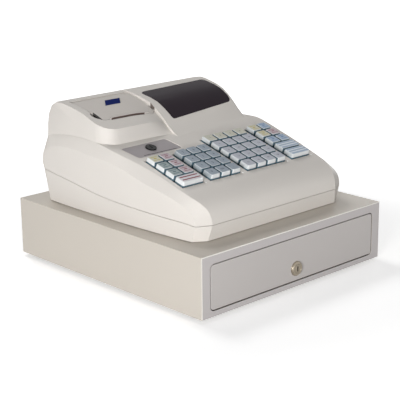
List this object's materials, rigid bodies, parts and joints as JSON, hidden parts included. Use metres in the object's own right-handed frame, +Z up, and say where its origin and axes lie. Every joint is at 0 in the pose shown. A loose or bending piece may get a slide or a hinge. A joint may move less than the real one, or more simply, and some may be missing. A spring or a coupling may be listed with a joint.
{
  "type": "ticket register",
  "caption": "Small electronic cash and ticket register with a sloped key deck, printer and display tower, on a steel cash drawer with lock and till tray.",
  "frame": {"origin": "on the table, under the middle of the machine's bounding box", "axes": "+Z up, -Y towards the operator's side with the keys and the drawer front, +X to the operator's right"},
  "size_m": [0.35, 0.387, 0.2369],
  "materials": {
    "cabinet_steel": "fine textured warm ivory paint",
    "drawer_front": "fine textured light grey paint",
    "lock_nickel": "worn nickel plate",
    "till_plastic": "fine grain",
    "lower_shell": "fine grain, warm off-white",
    "upper_shell": "fine grain, warm light grey",
    "frame_black": "fine grain",
    "cover_shell": "fine grain, warm grey",
    "platen_rubber": "ground",
    "mechanism_metal": "brushed",
    "paper": "smooth thermal paper",
    "smoked_window": "smoked gloss",
    "switch_black": "fine grain",
    "keys_left": "clear cap over a printed insert",
    "keys_digit": "clear cap over a printed insert",
    "keys_item": "clear cap over a printed insert",
    "keys_right": "clear cap over a printed insert"
  },
  "bodies": {
    "base": {"drawer_cabinet": "cabinet_steel", "lower_housing": "lower_shell", "upper_housing": "upper_shell", "key_frame": "frame_black", "printing_mechanism": "mechanism_metal", "display_window": "smoked_window"},
    "drawer": {"cash_drawer": "drawer_front", "till_insert": "till_plastic"},
    "drawer_lock": {"drawer_lock_plug": "lock_nickel"},
    "cover": {"printer_cover": "cover_shell"},
    "platen": {"platen_roller": "platen_rubber"},
    "roll": {"paper_roll": "paper"},
    "switch": {"mode_switch": "switch_black"},
    "tax_key_1_1": {"tax_key_1_1": "keys_left"},
    "tax_key_2_1": {"tax_key_2_1": "keys_left"},
    "tax_key_2_2": {"tax_key_2_2": "keys_left"},
    "tax_key_3_1": {"tax_key_3_1": "keys_left"},
    "tax_key_3_2": {"tax_key_3_2": "keys_left"},
    "tax_key_4_1": {"tax_key_4_1": "keys_left"},
    "tax_key_4_2": {"tax_key_4_2": "keys_left"},
    "digit_key_1_1": {"digit_key_1_1": "keys_digit"},
    "digit_key_1_2": {"digit_key_1_2": "keys_digit"},
    "digit_key_1_3": {"digit_key_1_3": "keys_digit"},
    "digit_key_2_1": {"digit_key_2_1": "keys_digit"},
    "digit_key_2_2": {"digit_key_2_2": "keys_digit"},
    "digit_key_2_3": {"digit_key_2_3": "keys_digit"},
    "digit_key_3_1": {"digit_key_3_1": "keys_digit"},
    "digit_key_3_2": {"digit_key_3_2": "keys_digit"},
    "digit_key_3_3": {"digit_key_3_3": "keys_digit"},
    "digit_key_4_1": {"digit_key_4_1": "keys_digit"},
    "digit_key_4_2": {"digit_key_4_2": "keys_digit"},
    "digit_key_4_3": {"digit_key_4_3": "keys_digit"},
    "item_key_1_1": {"item_key_1_1": "keys_item"},
    "item_key_1_2": {"item_key_1_2": "keys_item"},
    "item_key_1_3": {"item_key_1_3": "keys_item"},
    "item_key_1_4": {"item_key_1_4": "keys_item"},
    "item_key_2_1": {"item_key_2_1": "keys_item"},
    "item_key_2_2": {"item_key_2_2": "keys_item"},
    "item_key_2_3": {"item_key_2_3": "keys_item"},
    "item_key_2_4": {"item_key_2_4": "keys_item"},
    "item_key_3_1": {"item_key_3_1": "keys_item"},
    "item_key_3_2": {"item_key_3_2": "keys_item"},
    "item_key_3_3": {"item_key_3_3": "keys_item"},
    "item_key_3_4": {"item_key_3_4": "keys_item"},
    "item_key_4_1": {"item_key_4_1": "keys_item"},
    "item_key_4_2": {"item_key_4_2": "keys_item"},
    "item_key_4_3": {"item_key_4_3": "keys_item"},
    "item_key_4_4": {"item_key_4_4": "keys_item"},
    "item_key_5_1": {"item_key_5_1": "keys_item"},
    "item_key_5_2": {"item_key_5_2": "keys_item"},
    "item_key_5_3": {"item_key_5_3": "keys_item"},
    "item_key_5_4": {"item_key_5_4": "keys_item"},
    "total_key_1_1": {"total_key_1_1": "keys_right"},
    "total_key_2_1": {"total_key_2_1": "keys_right"},
    "total_key_3_1": {"total_key_3_1": "keys_right"},
    "total_key_3_2": {"total_key_3_2": "keys_right"},
    "total_key_4_1": {"total_key_4_1": "keys_right"},
    "total_key_4_2": {"total_key_4_2": "keys_right"},
    "total_key_5_1": {"total_key_5_1": "keys_right"},
    "total_key_5_2": {"total_key_5_2": "keys_right"}
  },
  "joints": [
    {"name": "drawer_slide", "type": "slide", "parent": "base", "child": "drawer", "axis": [0, -1, 0], "range_m": [0, 0.27]},
    {"name": "lock_turn", "type": "hinge", "parent": "drawer", "child": "drawer_lock", "pos_m": [0, -0.1905, 0.0308], "axis": [0, 1, 0], "range_deg": [0, 90]},
    {"name": "cover_hinge", "type": "hinge", "parent": "base", "child": "cover", "pos_m": [-0.08436, 0.11351, 0.2298], "axis": [-1, 0, 0], "range_deg": [0, 80]},
    {"name": "roll_spin", "type": "hinge", "parent": "base", "child": "roll", "pos_m": [-0.0873, 0.0915, 0.18494], "axis": [1, 0, 0], "continuous": true},
    {"name": "platen_spin", "type": "hinge", "parent": "cover", "child": "platen", "pos_m": [-0.0873, 0.05951, 0.203], "axis": [1, 0, 0], "continuous": true},
    {"name": "switch_turn", "type": "hinge", "parent": "base", "child": "switch", "pos_m": [-0.09248, -0.00454, 0.18146], "axis": [0, -0.278, 0.9606], "range_deg": [-60, 90]},
    {"name": "tax_key_1_1_press", "type": "slide", "parent": "base", "child": "tax_key_1_1", "axis": [0, 0.278, -0.9606], "range_m": [0, 0.003], "stiffness_N_per_m": 300, "springref_m": -0.001},
    {"name": "tax_key_2_1_press", "type": "slide", "parent": "base", "child": "tax_key_2_1", "axis": [0, 0.278, -0.9606], "range_m": [0, 0.003], "stiffness_N_per_m": 200, "springref_m": -0.001},
    {"name": "tax_key_2_2_press", "type": "slide", "parent": "base", "child": "tax_key_2_2", "axis": [0, 0.278, -0.9606], "range_m": [0, 0.003], "stiffness_N_per_m": 200, "springref_m": -0.001},
    {"name": "tax_key_3_1_press", "type": "slide", "parent": "base", "child": "tax_key_3_1", "axis": [0, 0.278, -0.9606], "range_m": [0, 0.003], "stiffness_N_per_m": 200, "springref_m": -0.001},
    {"name": "tax_key_3_2_press", "type": "slide", "parent": "base", "child": "tax_key_3_2", "axis": [0, 0.278, -0.9606], "range_m": [0, 0.003], "stiffness_N_per_m": 200, "springref_m": -0.001},
    {"name": "tax_key_4_1_press", "type": "slide", "parent": "base", "child": "tax_key_4_1", "axis": [0, 0.278, -0.9606], "range_m": [0, 0.003], "stiffness_N_per_m": 200, "springref_m": -0.001},
    {"name": "tax_key_4_2_press", "type": "slide", "parent": "base", "child": "tax_key_4_2", "axis": [0, 0.278, -0.9606], "range_m": [0, 0.003], "stiffness_N_per_m": 200, "springref_m": -0.001},
    {"name": "digit_key_1_1_press", "type": "slide", "parent": "base", "child": "digit_key_1_1", "axis": [0, 0.278, -0.9606], "range_m": [0, 0.003], "stiffness_N_per_m": 200, "springref_m": -0.001},
    {"name": "digit_key_1_2_press", "type": "slide", "parent": "base", "child": "digit_key_1_2", "axis": [0, 0.278, -0.9606], "range_m": [0, 0.003], "stiffness_N_per_m": 200, "springref_m": -0.001},
    {"name": "digit_key_1_3_press", "type": "slide", "parent": "base", "child": "digit_key_1_3", "axis": [0, 0.278, -0.9606], "range_m": [0, 0.003], "stiffness_N_per_m": 200, "springref_m": -0.001},
    {"name": "digit_key_2_1_press", "type": "slide", "parent": "base", "child": "digit_key_2_1", "axis": [0, 0.278, -0.9606], "range_m": [0, 0.003], "stiffness_N_per_m": 200, "springref_m": -0.001},
    {"name": "digit_key_2_2_press", "type": "slide", "parent": "base", "child": "digit_key_2_2", "axis": [0, 0.278, -0.9606], "range_m": [0, 0.003], "stiffness_N_per_m": 200, "springref_m": -0.001},
    {"name": "digit_key_2_3_press", "type": "slide", "parent": "base", "child": "digit_key_2_3", "axis": [0, 0.278, -0.9606], "range_m": [0, 0.003], "stiffness_N_per_m": 200, "springref_m": -0.001},
    {"name": "digit_key_3_1_press", "type": "slide", "parent": "base", "child": "digit_key_3_1", "axis": [0, 0.278, -0.9606], "range_m": [0, 0.003], "stiffness_N_per_m": 200, "springref_m": -0.001},
    {"name": "digit_key_3_2_press", "type": "slide", "parent": "base", "child": "digit_key_3_2", "axis": [0, 0.278, -0.9606], "range_m": [0, 0.003], "stiffness_N_per_m": 200, "springref_m": -0.001},
    {"name": "digit_key_3_3_press", "type": "slide", "parent": "base", "child": "digit_key_3_3", "axis": [0, 0.278, -0.9606], "range_m": [0, 0.003], "stiffness_N_per_m": 200, "springref_m": -0.001},
    {"name": "digit_key_4_1_press", "type": "slide", "parent": "base", "child": "digit_key_4_1", "axis": [0, 0.278, -0.9606], "range_m": [0, 0.003], "stiffness_N_per_m": 200, "springref_m": -0.001},
    {"name": "digit_key_4_2_press", "type": "slide", "parent": "base", "child": "digit_key_4_2", "axis": [0, 0.278, -0.9606], "range_m": [0, 0.003], "stiffness_N_per_m": 200, "springref_m": -0.001},
    {"name": "digit_key_4_3_press", "type": "slide", "parent": "base", "child": "digit_key_4_3", "axis": [0, 0.278, -0.9606], "range_m": [0, 0.003], "stiffness_N_per_m": 200, "springref_m": -0.001},
    {"name": "item_key_1_1_press", "type": "slide", "parent": "base", "child": "item_key_1_1", "axis": [0, 0.278, -0.9606], "range_m": [0, 0.003], "stiffness_N_per_m": 200, "springref_m": -0.001},
    {"name": "item_key_1_2_press", "type": "slide", "parent": "base", "child": "item_key_1_2", "axis": [0, 0.278, -0.9606], "range_m": [0, 0.003], "stiffness_N_per_m": 200, "springref_m": -0.001},
    {"name": "item_key_1_3_press", "type": "slide", "parent": "base", "child": "item_key_1_3", "axis": [0, 0.278, -0.9606], "range_m": [0, 0.003], "stiffness_N_per_m": 200, "springref_m": -0.001},
    {"name": "item_key_1_4_press", "type": "slide", "parent": "base", "child": "item_key_1_4", "axis": [0, 0.278, -0.9606], "range_m": [0, 0.003], "stiffness_N_per_m": 200, "springref_m": -0.001},
    {"name": "item_key_2_1_press", "type": "slide", "parent": "base", "child": "item_key_2_1", "axis": [0, 0.278, -0.9606], "range_m": [0, 0.003], "stiffness_N_per_m": 200, "springref_m": -0.001},
    {"name": "item_key_2_2_press", "type": "slide", "parent": "base", "child": "item_key_2_2", "axis": [0, 0.278, -0.9606], "range_m": [0, 0.003], "stiffness_N_per_m": 200, "springref_m": -0.001},
    {"name": "item_key_2_3_press", "type": "slide", "parent": "base", "child": "item_key_2_3", "axis": [0, 0.278, -0.9606], "range_m": [0, 0.003], "stiffness_N_per_m": 200, "springref_m": -0.001},
    {"name": "item_key_2_4_press", "type": "slide", "parent": "base", "child": "item_key_2_4", "axis": [0, 0.278, -0.9606], "range_m": [0, 0.003], "stiffness_N_per_m": 200, "springref_m": -0.001},
    {"name": "item_key_3_1_press", "type": "slide", "parent": "base", "child": "item_key_3_1", "axis": [0, 0.278, -0.9606], "range_m": [0, 0.003], "stiffness_N_per_m": 200, "springref_m": -0.001},
    {"name": "item_key_3_2_press", "type": "slide", "parent": "base", "child": "item_key_3_2", "axis": [0, 0.278, -0.9606], "range_m": [0, 0.003], "stiffness_N_per_m": 200, "springref_m": -0.001},
    {"name": "item_key_3_3_press", "type": "slide", "parent": "base", "child": "item_key_3_3", "axis": [0, 0.278, -0.9606], "range_m": [0, 0.003], "stiffness_N_per_m": 200, "springref_m": -0.001},
    {"name": "item_key_3_4_press", "type": "slide", "parent": "base", "child": "item_key_3_4", "axis": [0, 0.278, -0.9606], "range_m": [0, 0.003], "stiffness_N_per_m": 200, "springref_m": -0.001},
    {"name": "item_key_4_1_press", "type": "slide", "parent": "base", "child": "item_key_4_1", "axis": [0, 0.278, -0.9606], "range_m": [0, 0.003], "stiffness_N_per_m": 200, "springref_m": -0.001},
    {"name": "item_key_4_2_press", "type": "slide", "parent": "base", "child": "item_key_4_2", "axis": [0, 0.278, -0.9606], "range_m": [0, 0.003], "stiffness_N_per_m": 200, "springref_m": -0.001},
    {"name": "item_key_4_3_press", "type": "slide", "parent": "base", "child": "item_key_4_3", "axis": [0, 0.278, -0.9606], "range_m": [0, 0.003], "stiffness_N_per_m": 200, "springref_m": -0.001},
    {"name": "item_key_4_4_press", "type": "slide", "parent": "base", "child": "item_key_4_4", "axis": [0, 0.278, -0.9606], "range_m": [0, 0.003], "stiffness_N_per_m": 200, "springref_m": -0.001},
    {"name": "item_key_5_1_press", "type": "slide", "parent": "base", "child": "item_key_5_1", "axis": [0, 0.278, -0.9606], "range_m": [0, 0.003], "stiffness_N_per_m": 200, "springref_m": -0.001},
    {"name": "item_key_5_2_press", "type": "slide", "parent": "base", "child": "item_key_5_2", "axis": [0, 0.278, -0.9606], "range_m": [0, 0.003], "stiffness_N_per_m": 200, "springref_m": -0.001},
    {"name": "item_key_5_3_press", "type": "slide", "parent": "base", "child": "item_key_5_3", "axis": [0, 0.278, -0.9606], "range_m": [0, 0.003], "stiffness_N_per_m": 200, "springref_m": -0.001},
    {"name": "item_key_5_4_press", "type": "slide", "parent": "base", "child": "item_key_5_4", "axis": [0, 0.278, -0.9606], "range_m": [0, 0.003], "stiffness_N_per_m": 200, "springref_m": -0.001},
    {"name": "total_key_1_1_press", "type": "slide", "parent": "base", "child": "total_key_1_1", "axis": [0, 0.278, -0.9606], "range_m": [0, 0.003], "stiffness_N_per_m": 300, "springref_m": -0.001},
    {"name": "total_key_2_1_press", "type": "slide", "parent": "base", "child": "total_key_2_1", "axis": [0, 0.278, -0.9606], "range_m": [0, 0.003], "stiffness_N_per_m": 300, "springref_m": -0.001},
    {"name": "total_key_3_1_press", "type": "slide", "parent": "base", "child": "total_key_3_1", "axis": [0, 0.278, -0.9606], "range_m": [0, 0.003], "stiffness_N_per_m": 200, "springref_m": -0.001},
    {"name": "total_key_3_2_press", "type": "slide", "parent": "base", "child": "total_key_3_2", "axis": [0, 0.278, -0.9606], "range_m": [0, 0.003], "stiffness_N_per_m": 200, "springref_m": -0.001},
    {"name": "total_key_4_1_press", "type": "slide", "parent": "base", "child": "total_key_4_1", "axis": [0, 0.278, -0.9606], "range_m": [0, 0.003], "stiffness_N_per_m": 200, "springref_m": -0.001},
    {"name": "total_key_4_2_press", "type": "slide", "parent": "base", "child": "total_key_4_2", "axis": [0, 0.278, -0.9606], "range_m": [0, 0.003], "stiffness_N_per_m": 200, "springref_m": -0.001},
    {"name": "total_key_5_1_press", "type": "slide", "parent": "base", "child": "total_key_5_1", "axis": [0, 0.278, -0.9606], "range_m": [0, 0.003], "stiffness_N_per_m": 200, "springref_m": -0.001},
    {"name": "total_key_5_2_press", "type": "slide", "parent": "base", "child": "total_key_5_2", "axis": [0, 0.278, -0.9606], "range_m": [0, 0.003], "stiffness_N_per_m": 200, "springref_m": -0.001}
  ],
  "couplings": [
    {"joint": "platen_spin", "follows": "roll_spin", "ratio": 5}
  ]
}
